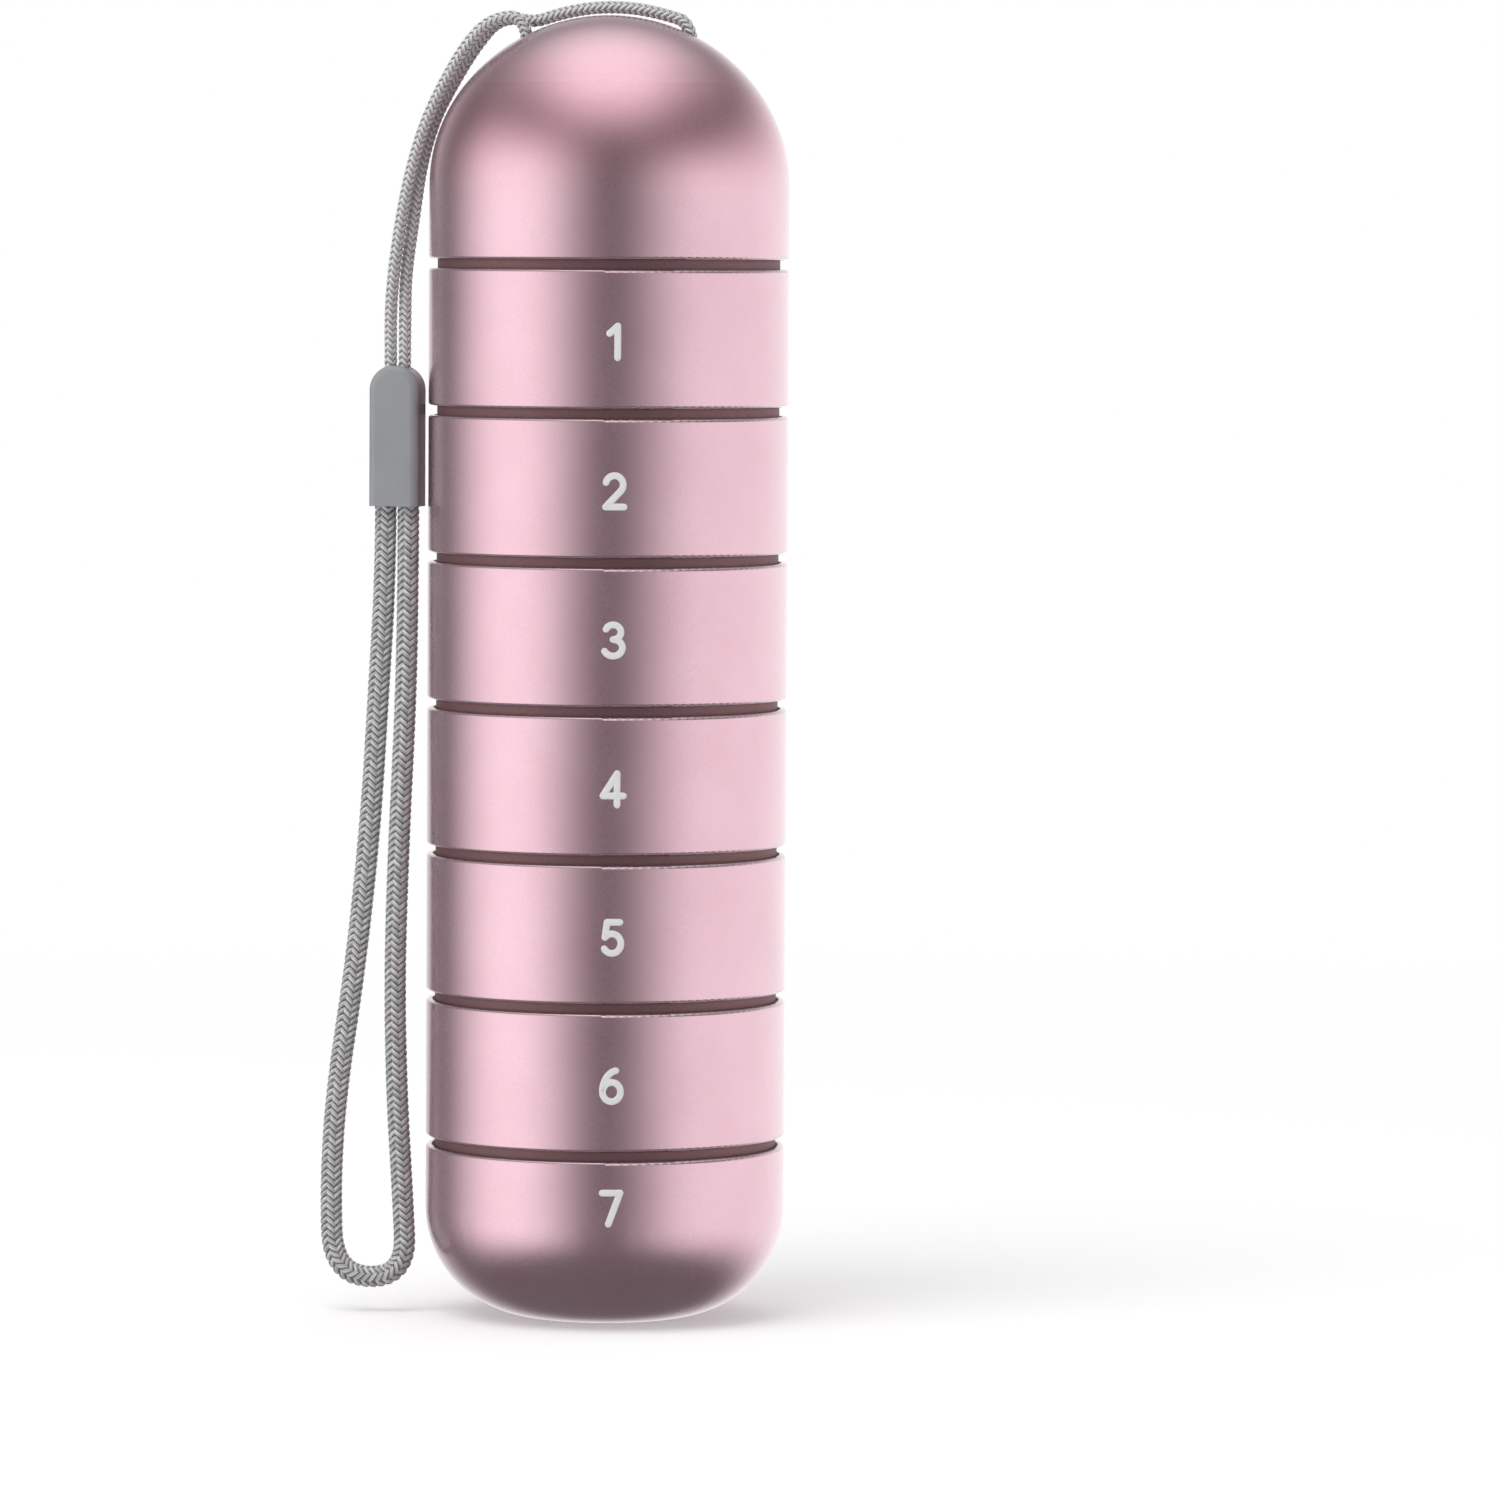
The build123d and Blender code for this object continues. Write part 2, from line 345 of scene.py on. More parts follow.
@dataclass(frozen=True)
class MouldedPlastic(Finish):
    """Moulded plastic or silicone with a fine matt skin."""

    colour: Colour
    shade: Colour
    roughness: float
    skin_size: float = 0.25 * MM
    skin_detail: float = 2.0
    skin_range: Span = (0.2, 0.8)
    skin_spread: float = 0.04
    skin_depth: float = 0.01 * MM
    skin_strength: float = 0.2
    cloud_size: float = 5 * MM
    cloud_detail: float = 2.0
    glow: float = 0.0
    glow_reach: float = 1.2 * MM

    def dress(self, wires: Wiring, shader: bpy.types.Node) -> None:
        """Mottles the colour a little and gives the skin its grain.

        Args:
            wires: The material's tree.
            shader: Its Principled shader.
        """
        where = wires.add("ShaderNodeTexCoord").outputs["Object"]
        skin = wires.noise(self.skin_size, self.skin_detail, where)
        clouds = wires.ease(wires.noise(self.cloud_size, self.cloud_detail, where), *MOST_NOISE)
        smooth, rough = self.roughness - self.skin_spread, self.roughness + self.skin_spread
        self.settle(wires, shader, {
            "Base Color": wires.blend(clouds, self.colour, self.shade),
            "Roughness": wires.ease(skin, *self.skin_range, smooth, rough),
            "Subsurface Weight": self.glow,
            "Subsurface Scale": self.glow_reach,
        })
        self.roughen(wires, shader, skin, self.skin_depth, self.skin_strength)


@dataclass(frozen=True)
class PrintInk(Finish):
    """White ink, printed on the metal."""

    colour: Colour = (0.88, 0.87, 0.87)
    thin_colour: Colour = (0.82, 0.79, 0.8)
    thin_range: Span = (0.45, 0.85)
    roughness: float = 0.55
    grain_size: float = 0.2 * MM
    grain_detail: float = 2.0
    grain_depth: float = 0.004 * MM
    grain_strength: float = 0.3

    def dress(self, wires: Wiring, shader: bpy.types.Node) -> None:
        """Lets the ink cover a little unevenly.

        Args:
            wires: The material's tree.
            shader: Its Principled shader.
        """
        where = wires.add("ShaderNodeTexCoord").outputs["Object"]
        grain = wires.noise(self.grain_size, self.grain_detail, where)
        self.settle(wires, shader, {
            "Base Color": wires.blend(wires.ease(grain, *self.thin_range), self.colour, self.thin_colour),
            "Roughness": self.roughness,
        })
        self.roughen(wires, shader, grain, self.grain_depth, self.grain_strength)


@dataclass(frozen=True)
class BraidYarn(Finish):
    """Grey braided yarn: strands of different tones, with fine fibres along them, and painted shade that darkens
    their edges towards the gaps between them.
    """

    light: Colour = (0.93, 0.93, 0.93)
    dark: Colour = (0.5, 0.5, 0.51)
    # Painted shade colour for the strands' edges, where they meet the gaps between them.
    gap_shade: Colour = (0.1, 0.1, 0.105)
    fibre_count: float = 7.0
    fibre_twist: float = 900.0
    fibre_share: float = 0.3
    fibre_depth: float = 0.03 * MM
    fibre_strength: float = 0.5
    edge_shade: float = 0.7
    edge_power: float = 3.0
    roughness: float = 0.72
    sheen: float = 0.25
    sheen_roughness: float = 0.5
    tone_attribute: str = "strand_tone"
    run_attribute: str = "strand_run"
    round_attribute: str = "strand_round"

    def dress(self, wires: Wiring, shader: bpy.types.Node) -> None:
        """Tones the strands, lays fibres along them and darkens their edges with painted shade, from the
        attributes that the braid carries.

        Args:
            wires: The material's tree.
            shader: Its Principled shader.
        """
        tone = wires.add("ShaderNodeAttribute", attribute_name=self.tone_attribute).outputs["Fac"]
        run = wires.add("ShaderNodeAttribute", attribute_name=self.run_attribute).outputs["Fac"]
        about = wires.add("ShaderNodeAttribute", attribute_name=self.round_attribute).outputs["Fac"]
        turns = wires.math("MULTIPLY", about, self.fibre_count * math.tau)
        phase = wires.math("ADD", turns, wires.math("MULTIPLY", run, self.fibre_twist))
        fibres = wires.ease(wires.math("SINE", phase), -1.0, 1.0)
        edge = wires.math("ABSOLUTE", wires.math("SINE", wires.math("MULTIPLY", about, math.tau)))
        # Painted shade: towards each strand's edges the colour goes to the shade colour of the gaps between
        # strands.
        edge_shade_share = wires.math("MULTIPLY", wires.math("POWER", edge, self.edge_power), self.edge_shade)
        fleck = wires.math("MULTIPLY", fibres, self.fibre_share)
        share = wires.math("ADD", wires.math("MULTIPLY", tone, 1.0 - self.fibre_share), fleck)
        self.settle(wires, shader, {
            "Base Color": wires.blend(edge_shade_share, wires.blend(share, self.dark, self.light), self.gap_shade),
            "Roughness": self.roughness,
            "Sheen Weight": self.sheen,
            "Sheen Roughness": self.sheen_roughness,
        })
        self.roughen(wires, shader, fibres, self.fibre_depth, self.fibre_strength)


class Workshop:
    """Small jobs that every sub-assembly needs."""

    @staticmethod
    def piece(name: str, shape: Shape) -> bpy.types.Object:
        """Puts a shape into the scene as an object at the origin.

        Args:
            name: The object's name.
            shape: Its mesh or curve, already in place.

        Returns:
            The new object.
        """
        made = bpy.data.objects.new(name, shape)
        bpy.context.scene.collection.objects.link(made)
        return made

    @staticmethod
    def frozen(made: bpy.types.Object) -> bpy.types.Mesh:
        """Turns an object, with its modifiers, into a plain mesh.

        Args:
            made: A curve, or a mesh with modifiers.

        Returns:
            The evaluated mesh.
        """
        bpy.context.view_layer.update()
        graph = bpy.context.evaluated_depsgraph_get()
        return bpy.data.meshes.new_from_object(
            made.evaluated_get(graph), preserve_all_data_layers=True, depsgraph=graph
        )

    @staticmethod
    def paint(node: str, material: bpy.types.Material) -> None:
        """Gives a solid of the frame its material.

        Args:
            node: The solid's name.
            material: Its material.
        """
        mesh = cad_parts[node].data
        mesh.materials.clear()
        mesh.materials.append(material)


@dataclass
class Column:
    """The metal cap and compartments, with the soft rings between them and the disc inside the cap."""

    day_count: int = 7
    metal: AnodisedMetal = AnodisedMetal("pink_anodised_metal")
    rubber: MouldedPlastic = MouldedPlastic(
        "clear_silicone", colour=(0.74, 0.73, 0.72), shade=(0.68, 0.67, 0.66), roughness=0.5, glow=0.25
    )
    disc: MouldedPlastic = MouldedPlastic(
        "white_liner_plastic", colour=(0.78, 0.78, 0.77), shade=(0.72, 0.72, 0.71), roughness=0.42
    )

    def body(self, day: int) -> str:
        """The frame's name of a day's compartment, which is also its body's."""
        return f"day_{day}_base" if day == self.day_count else f"day_{day}_cup"

    def dress(self) -> None:
        """Finishes the solids that already have their shape."""
        metal, rubber, disc = self.metal.material(), self.rubber.material(), self.disc.material()
        for day in range(1, self.day_count + 1):
            Workshop.paint(self.body(day), metal)
        Workshop.paint("cap_dome", metal)
        Workshop.paint("cap_liner", disc)
        for ring in ["cap_seal", *(f"day_{day}_seal" for day in range(1, self.day_count))]:
            Workshop.paint(ring, rubber)
        LOG.info("column: %d compartments, cap, rings and liner finished", self.day_count)


def bow(centre: Flat, radii: Flat, start: float, end: float, steps: int = 18) -> list[Flat]:
    """Points along an oval arc.

    Args:
        centre: The oval's middle.
        radii: Its half-width and half-height.
        start: The angle of the first point, in degrees from +X towards +Y.
        end: The angle of the last point.
        steps: How many runs the arc is divided into.

    Returns:
        The points, in order.
    """
    angles = [math.radians(start + (end - start) * step / steps) for step in range(steps + 1)]
    return [
        (centre[0] + radii[0] * math.cos(angle), centre[1] + radii[1] * math.sin(angle))
        for angle in angles
    ]


# The middle lines of each figure's strokes, for a figure of height 1 that stands on 0.
FIGURES: dict[int, list[list[Flat]]] = {
    1: [[(-0.18, 0.77), (0.08, 1.0)], [(0.08, 1.0), (0.08, 0.0)]],
    2: [
        bow((0.0, 0.71), (0.28, 0.29), 165.0, -38.0),
        [(0.221, 0.531), (-0.28, 0.0)],
        [(-0.28, 0.0), (0.3, 0.0)],
    ],
    3: [bow((-0.02, 0.765), (0.25, 0.235), 155.0, -90.0), bow((-0.02, 0.265), (0.3, 0.265), 90.0, -155.0)],
    4: [[(0.13, 0.0), (0.13, 1.0)], [(0.13, 1.0), (-0.32, 0.29)], [(-0.32, 0.29), (0.33, 0.29)]],
    5: [
        [(0.24, 1.0), (-0.17, 1.0)],
        [(-0.17, 1.0), (-0.23, 0.52)],
        bow((-0.01, 0.315), (0.29, 0.315), 140.0, -148.0),
    ],
    6: [bow((0.0, 0.31), (0.29, 0.31), 0.0, 360.0, 30), bow((0.2, 0.31), (0.49, 0.69), 98.0, 180.0)],
    7: [[(-0.28, 1.0), (0.29, 1.0)], [(0.29, 1.0), (-0.08, 0.0)]],
}


@dataclass
class DayNumbers:
    """The white numbers printed on the front of the compartments, 1 at the top."""

    column: Column
    wall_radius: float = 22.5 * MM
    figure_height: float = 4.7 * MM
    stroke_width: float = 0.86 * MM
    centre_x: float = 1.4 * MM
    cup_centre: float = 8.25 * MM
    base_centre: float = 15.8 * MM
    ink_height: float = 0.035 * MM
    ink_depth: float = 0.03 * MM
    division: float = 0.25 * MM
    end_angles: tuple[float, ...] = (30.0, 60.0, 86.0)
    ring_steps: int = 3
    ink: PrintInk = PrintInk("white_print_ink")

    def rounded(self, stroke: Sequence[Flat]) -> list[tuple[Vector, float]]:
        """Divides a stroke and gives it round ends.

        Args:
            stroke: The points of its middle line, for a figure of unit height.

        Returns:
            Points of the printed size, centred in height, each with its share of the full width.
        """
        size = self.figure_height - self.stroke_width
        corners = [Vector((x, y - 0.5)) * size for x, y in stroke]
        points: list[Vector] = []
        for start, end in zip(corners, corners[1:]):
            runs = max(1, round((end - start).length / self.division))
            points += [start.lerp(end, run / runs) for run in range(runs)]
        points.append(corners[-1])
        angles = [math.radians(angle) for angle in self.end_angles]
        before = (points[0] - points[1]).normalized() * (self.stroke_width / 2)
        after = (points[-1] - points[-2]).normalized() * (self.stroke_width / 2)
        first = [(points[0] + before * math.sin(angle), math.cos(angle)) for angle in reversed(angles)]
        last = [(points[-1] + after * math.sin(angle), math.cos(angle)) for angle in angles]
        return first + [(point, 1.0) for point in points] + last

    def strokes(self, day: int) -> bpy.types.Mesh:
        """Makes one figure of round strokes, flat on the page.

        Args:
            day: The number to print.

        Returns:
            A mesh in X (across) and Y (up), as thick as its strokes are wide.
        """
        curve = bpy.data.curves.new(f"figure_{day}", "CURVE")
        curve.dimensions = "3D"
        curve.twist_mode = "Z_UP"
        curve.bevel_depth = self.stroke_width / 2
        curve.bevel_resolution = self.ring_steps
        curve.use_fill_caps = True
        for stroke in FIGURES[day]:
            points = self.rounded(stroke)
            spline = curve.splines.new("POLY")
            spline.points.add(len(points) - 1)
            for point, (place, share) in zip(spline.points, points):
                point.co = (place.x, place.y, 0.0, 1.0)
                point.radius = share
        carrier = Workshop.piece(f"figure_{day}", curve)
        mesh = Workshop.frozen(carrier)
        bpy.data.objects.remove(carrier)
        bpy.data.curves.remove(curve)
        return mesh

    def build(self, day: int) -> bpy.types.Object:
        """Prints one number.

        Args:
            day: The number to print.

        Returns:
            The number, pressed flat and bent round the wall, with the ink's thickness.
        """
        lift = self.base_centre if day == self.column.day_count else self.cup_centre
        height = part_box(self.column.body(day))[0].z + lift
        mesh = self.strokes(day)
        mesh.name = f"number_{day}"
        for vertex in mesh.vertices:
            thickness = self.ink_height if vertex.co.z > 0.0 else self.ink_depth
            radius = self.wall_radius + vertex.co.z * thickness / (self.stroke_width / 2)
            turn = (self.centre_x + vertex.co.x) / self.wall_radius
            vertex.co = Vector((radius * math.sin(turn), -radius * math.cos(turn), height + vertex.co.y))
        return Workshop.piece(f"number_{day}", mesh)

    def dress(self) -> None:
        """Prints every number and lets it ride on its compartment."""
        ink = self.ink.material()
        for day in range(1, self.column.day_count + 1):
            number = self.build(day)
            number.data.materials.append(ink)
            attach(number, self.column.body(day))
            LOG.info("%s: %d faces", number.name, len(number.data.polygons))


class BraidTree:
    """A Geometry Nodes tree that braids two opposite families of strands round a path, over a core.

    A strand winds round the path once in a lead. Where the right-hand family stands proud, the left-hand one
    dips, in bands along the cord, so each strand passes over two others and under two, as in a braided lace.
    """

    INPUTS = {
        "Strands Each Way": "NodeSocketInt",
        "Strand Sides": "NodeSocketInt",
        "Seed": "NodeSocketInt",
        "Finish": "NodeSocketMaterial",
        "Lead": "NodeSocketFloat",
        "Lay Radius": "NodeSocketFloat",
        "Wave": "NodeSocketFloat",
        "Strand Width": "NodeSocketFloat",
        "Strand Thickness": "NodeSocketFloat",
        "Step": "NodeSocketFloat",
        "Core Radius": "NodeSocketFloat",
    }
    WAVES_PER_STRAND = 0.5
    WAVE_STEEPNESS = 1.5

    def __init__(self, name: str, yarn: BraidYarn) -> None:
        """Builds the tree.

        Args:
            name: The tree's name.
            yarn: The finish whose attributes the strands carry.
        """
        self.yarn = yarn
        self.tree = bpy.data.node_groups.new(name, "GeometryNodeTree")
        self.wires = Wiring(self.tree)
        face = self.tree.interface
        face.new_socket("Geometry", in_out="INPUT", socket_type="NodeSocketGeometry")
        self.sockets = {
            name: face.new_socket(name, in_out="INPUT", socket_type=kind)
            for name, kind in self.INPUTS.items()
        }
        face.new_socket("Geometry", in_out="OUTPUT", socket_type="NodeSocketGeometry")
        self.given = self.wires.add("NodeGroupInput").outputs
        self.grow()

    def path(self) -> bpy.types.Node:
        """Turns the incoming edges into an evenly divided curve that remembers its frame.

        Returns:
            The Capture Attribute node, with the outputs Across, Along and Run.
        """
        wires = self.wires
        curve = wires.add("GeometryNodeMeshToCurve", {"Mesh": self.given["Geometry"]}).outputs["Curve"]
        inputs = {"Curve": curve, "Length": self.given["Step"]}
        even = wires.add("GeometryNodeResampleCurve", inputs, mode="LENGTH")
        kept = wires.add("GeometryNodeCaptureAttribute", domain="POINT")
        for kind, name in (("VECTOR", "Across"), ("VECTOR", "Along"), ("FLOAT", "Run")):
            kept.capture_items.new(kind, name)
        wires.feed(kept.inputs["Geometry"], even.outputs["Curve"])
        wires.feed(kept.inputs["Across"], wires.add("GeometryNodeInputNormal").outputs["Normal"])
        wires.feed(kept.inputs["Along"], wires.add("GeometryNodeInputTangent").outputs["Tangent"])
        wires.feed(kept.inputs["Run"], wires.add("GeometryNodeSplineParameter").outputs["Length"])
        return kept

    def section(self, half_depth: Term, half_width: Term) -> bpy.types.NodeSocket:
        """Makes an oval section that remembers the way round it.

        Args:
            half_depth: Half its size towards the path.
            half_width: Half its size across that.

        Returns:
            The section's curve.
        """
        wires = self.wires
        inputs = {"Resolution": self.given["Strand Sides"], "Radius": 1.0}
        ring = wires.add("GeometryNodeCurvePrimitiveCircle", inputs)
        about = wires.add("GeometryNodeSplineParameter").outputs["Factor"]
        named = self.keep(ring.outputs["Curve"], self.yarn.round_attribute, about)
        scale = wires.add("ShaderNodeCombineXYZ", {"X": half_depth, "Y": half_width, "Z": 1.0})
        inputs = {"Geometry": named, "Scale": scale.outputs["Vector"]}
        return wires.add("GeometryNodeTransform", inputs).outputs["Geometry"]

    def keep(self, geometry: bpy.types.NodeSocket, name: str, value: Term) -> bpy.types.NodeSocket:
        """Stores a point attribute under a name that a finish can read.

        Args:
            geometry: What carries it.
            name: Its name.
            value: Its value.

        Returns:
            The geometry with the attribute.
        """
        inputs = {"Geometry": geometry, "Name": name, "Value": value}
        stored = self.wires.add("GeometryNodeStoreNamedAttribute", inputs, data_type="FLOAT")
        return stored.outputs["Geometry"]

    def family(self, kept: bpy.types.Node, way: Way) -> bpy.types.NodeSocket:
        """Lays the strands that wind one way.

        Args:
            kept: The path, with its frame.
            way: Which way they wind.

        Returns:
            The strands' mesh.
        """
        wires, given = self.wires, self.given
        copies = wires.add(
            "GeometryNodeDuplicateElements",
            {"Geometry": kept.outputs["Geometry"], "Amount": given["Strands Each Way"]},
            domain="SPLINE",
        )
        place = copies.outputs["Duplicate Index"]
        share = wires.math("DIVIDE", place, given["Strands Each Way"])
        wound = wires.math("MULTIPLY", wires.math("DIVIDE", kept.outputs["Run"], given["Lead"]), way.value)
        turn = wires.math("MULTIPLY", wires.math("ADD", wound, share), math.tau)
        crossed = wires.math("MULTIPLY", turn, given["Strands Each Way"])
        beat = wires.math("MULTIPLY", crossed, self.WAVES_PER_STRAND)
        swell = wires.math("MULTIPLY", wires.math("SINE", beat), self.WAVE_STEEPNESS * way.value)
        bounded = wires.math("MAXIMUM", wires.math("MINIMUM", swell, 1.0), -1.0)
        radius = wires.math("ADD", given["Lay Radius"], wires.math("MULTIPLY", bounded, given["Wave"]))
        side = wires.vector("CROSS_PRODUCT", kept.outputs["Along"], kept.outputs["Across"])
        outward = wires.vector(
            "ADD",
            wires.vector("SCALE", kept.outputs["Across"], wires.math("COSINE", turn)),
            wires.vector("SCALE", side, wires.math("SINE", turn)),
        )
        moved = wires.add(
            "GeometryNodeSetPosition",
            {"Geometry": copies.outputs["Geometry"], "Offset": wires.vector("SCALE", outward, radius)},
        ).outputs["Geometry"]
        faced = wires.add("GeometryNodeSetCurveNormal", {"Curve": moved, "Normal": outward}, mode="FREE")
        seed = wires.math("ADD", given["Seed"], way.value)
        chance = wires.add("FunctionNodeRandomValue", {"ID": place, "Seed": seed}, data_type="FLOAT")
        toned = self.keep(faced.outputs["Curve"], self.yarn.tone_attribute, chance.outputs[1])
        run = self.keep(toned, self.yarn.run_attribute, kept.outputs["Run"])
        half_depth = wires.math("MULTIPLY", given["Strand Thickness"], 0.5)
        half_width = wires.math("MULTIPLY", given["Strand Width"], 0.5)
        inputs = {"Curve": run, "Profile Curve": self.section(half_depth, half_width), "Fill Caps": True}
        return wires.add("GeometryNodeCurveToMesh", inputs).outputs["Mesh"]

    def grow(self) -> None:
        """Joins both families and the core, and gives them their finish."""
        wires, given = self.wires, self.given
        kept = self.path()
        # The core stores no strand tone, so its colour stays near the dark end of the yarn: painted shade inside
        # the braid.
        core_run = self.keep(kept.outputs["Geometry"], self.yarn.run_attribute, kept.outputs["Run"])
        profile = self.section(given["Core Radius"], given["Core Radius"])
        inputs = {"Curve": core_run, "Profile Curve": profile, "Fill Caps": True}
        core = wires.add("GeometryNodeCurveToMesh", inputs).outputs["Mesh"]
        joined = wires.add("GeometryNodeJoinGeometry")
        for part in (core, *(self.family(kept, way) for way in Way)):
            wires.feed(joined.inputs["Geometry"], part)
        whole = wires.add("GeometryNodeRealizeInstances", {"Geometry": joined.outputs["Geometry"]})
        inputs = {"Geometry": whole.outputs["Geometry"], "Shade Smooth": True}
        smooth = wires.add("GeometryNodeSetShadeSmooth", inputs)
        inputs = {"Geometry": smooth.outputs["Geometry"], "Material": given["Finish"]}
        finished = wires.add("GeometryNodeSetMaterial", inputs)
        wires.add("NodeGroupOutput", {"Geometry": finished.outputs["Geometry"]})

    def apply(self, carrier: bpy.types.Object, values: dict[str, object]) -> bpy.types.Mesh:
        """Braids along an object's edges.

        Args:
            carrier: An object whose edges are the path.
            values: The tree's inputs, by name.

        Returns:
            The braid as a plain mesh.
        """
        modifier = carrier.modifiers.new("braid", "NODES")
        modifier.node_group = self.tree
        for name, value in values.items():
            modifier[self.sockets[name].identifier] = value
        mesh = Workshop.frozen(carrier)
        carrier.modifiers.remove(modifier)
        return mesh


@dataclass
class BraidedCord:
    """One braided cord along its route, from the sleeve and back into it."""

    name: str
    node: str
    body: str
    diameter: float
    length: float
    route: tuple[Point, ...]
    strands: int
    lead: float
    strand_width: float
    strand_thickness: float
    wave: float
    step: float
    seed: int
    strand_sides: int = 6
    core_share: float = 0.72
    route_steps: int = 16
    order: int = 3

    def line(self) -> bpy.types.Mesh:
        """Reads the cord's middle line from a smooth spline through the route's control points.

        Returns:
            A mesh of the line's points and edges, in metres.
        """
        curve = bpy.data.curves.new(f"{self.name}_line", "CURVE")
        curve.dimensions = "3D"
        spline = curve.splines.new("NURBS")
        spline.points.add(len(self.route) - 1)
        for point, (x, y, z) in zip(spline.points, self.route):
            point.co = (x * MM, y * MM, z * MM, 1.0)
        spline.order_u = self.order
        spline.use_endpoint_u = True
        spline.resolution_u = self.route_steps
        carrier = Workshop.piece(f"{self.name}_line", curve)
        mesh = Workshop.frozen(carrier)
        bpy.data.objects.remove(carrier)
        return mesh

    def build(self, tree: BraidTree, material: bpy.types.Material) -> tuple[bpy.types.Object, list[Vector]]:
        """Braids the cord.

        Args:
            tree: The braiding tree.
            material: The yarn's material.

        Returns:
            The cord, and the points that it follows.
        """
        line = self.line()
        points = [vertex.co.copy() for vertex in line.vertices]
        carrier = Workshop.piece(f"{self.name}_carrier", line)
        lay = self.diameter / 2 - self.wave - self.strand_thickness / 2
        braid = tree.apply(carrier, {
            "Strands Each Way": self.strands,
            "Strand Sides": self.strand_sides,
            "Seed": self.seed,
            "Finish": material,
            "Lead": self.lead,
            "Lay Radius": lay,
            "Wave": self.wave,
            "Strand Width": self.strand_width,
            "Strand Thickness": self.strand_thickness,
            "Step": self.step,
            "Core Radius": lay * self.core_share,
        })
        bpy.data.objects.remove(carrier)
        braid.name = self.name
        return Workshop.piece(self.name, braid), points

    def dress(
        self, tree: BraidTree, material: bpy.types.Material, on_it: Iterable[bpy.types.Object] = ()
    ) -> None:
        """Braids the cord, hangs it on its body and hides the solid that it replaces.

        Args:
            tree: The braiding tree.
            material: The yarn's material.
            on_it: The separate pieces on the cord; not used.
        """
        cord, points = self.build(tree, material)
        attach(cord, self.body)
        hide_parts(self.node)
        LOG.info("%s: %d faces along %d points", self.name, len(cord.data.polygons), len(points))


# Control points in millimetres, up from the sleeve, through the crown and back.
STRING_ROUTE: tuple[Point, ...] = (
    (-27.2774, 0.2394, 114.6), (-27.2774, 0.2394, 121.5), (-27.3, -0.1, 125.5), (-26.95, -0.65, 130.5),
    (-25.9, -0.75, 138.0), (-24.6, -0.6, 144.3), (-22.8, -0.5, 150.0), (-20.3, -0.3, 155.2),
    (-17.6, -0.1, 159.7), (-14.7, 0.0, 162.5), (-10.4, 0.0, 162.8), (-10.2, 0.0, 155.0),
    (0.0, 0.0, 153.9), (10.2, 0.0, 155.0), (10.2, 0.0, 162.0), (6.8, 0.2, 163.05),
    (3.6, 0.5, 163.75), (0.0, 0.9, 164.0), (-3.6, 1.3, 163.7), (-7.0, 1.7, 162.9),
    (-9.5, 1.95, 162.05), (-12.3, 1.95, 162.6), (-14.4, 1.95, 161.9), (-16.2, 1.9, 159.8),
    (-17.9, 1.7, 157.3), (-19.7, 1.5, 154.2), (-21.9, 1.2, 150.0), (-23.55, 1.0, 144.3),
    (-24.4, 0.65, 138.0), (-25.45, 0.6, 130.5), (-25.48, 0.2, 125.5), (-25.4904, -0.2394, 121.5),
    (-25.4904, -0.2394, 114.6),
)
# Control points in millimetres, down from the sleeve and back.
LOOP_ROUTE: tuple[Point, ...] = (
    (-27.8086, 0.3818, 106.0), (-27.8086, 0.3818, 93.2), (-28.7, 0.8, 78.0), (-29.6, 0.8, 62.0),
    (-31.4, 0.5, 44.0), (-33.8, 0.2, 28.0), (-34.5, 0.1, 16.0), (-34.1, 0.0, 4.6),
    (-24.9, -0.2, 4.4), (-25.4, -0.3, 15.0), (-26.2, -0.4, 28.0), (-26.5, -0.5, 43.0),
    (-26.0, -0.6, 60.0), (-25.2, -0.6, 77.0), (-24.9592, -0.3818, 93.2), (-24.9592, -0.3818, 106.0),
)


@dataclass
class Strap:
    """The string through the cap's crown, the sleeve, and the wrist loop that hangs from it."""

    yarn: BraidYarn = BraidYarn("grey_braid")
    pale_yarn: BraidYarn = BraidYarn("pale_grey_braid", dark=(0.8, 0.8, 0.81), edge_shade=0.6)
    plastic: MouldedPlastic = MouldedPlastic(
        "grey_sleeve_plastic", colour=(0.34, 0.35, 0.365), shade=(0.32, 0.33, 0.345), roughness=0.24, glow=0.1
    )
    string: BraidedCord = field(default_factory=lambda: BraidedCord(
        name="cap_string_braid", node="cap_string", body="cap", diameter=1.7 * MM, length=161.7 * MM,
        route=STRING_ROUTE, strands=6, lead=4.6 * MM, strand_width=0.5 * MM, strand_thickness=0.28 * MM,
        wave=0.12 * MM, step=0.2 * MM, seed=3,
    ))
    loop: BraidedCord = field(default_factory=lambda: BraidedCord(
        name="wrist_loop_braid", node="wrist_loop", body="cap", diameter=2.8 * MM, length=209.0 * MM,
        route=LOOP_ROUTE, strands=8, lead=6.8 * MM, strand_width=0.6 * MM, strand_thickness=0.38 * MM,
        wave=0.18 * MM, step=0.28 * MM, seed=11,
    ))

    def dress(self) -> None:
        """Finishes the sleeve and braids both cords."""
        Workshop.paint("strap_sleeve", self.plastic.material())
        tree = BraidTree("braided_cord", self.yarn)
        self.string.dress(tree, self.pale_yarn.material())
        self.loop.dress(tree, self.yarn.material(), [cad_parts["strap_sleeve"]])


@dataclass(frozen=True)
class SoftCard:
    """A soft card of light that stands round the object, as the metal mirrors it.

    Its azimuth is measured from the front towards +X. It is evenly bright over its flat half-width and gone at
    its outer one, and it fades upwards between its top and its fade. All of these are in degrees.
    """

    azimuth: float
    flat_half: float
    outer_half: float
    top: float
    fade: float
    strength: float


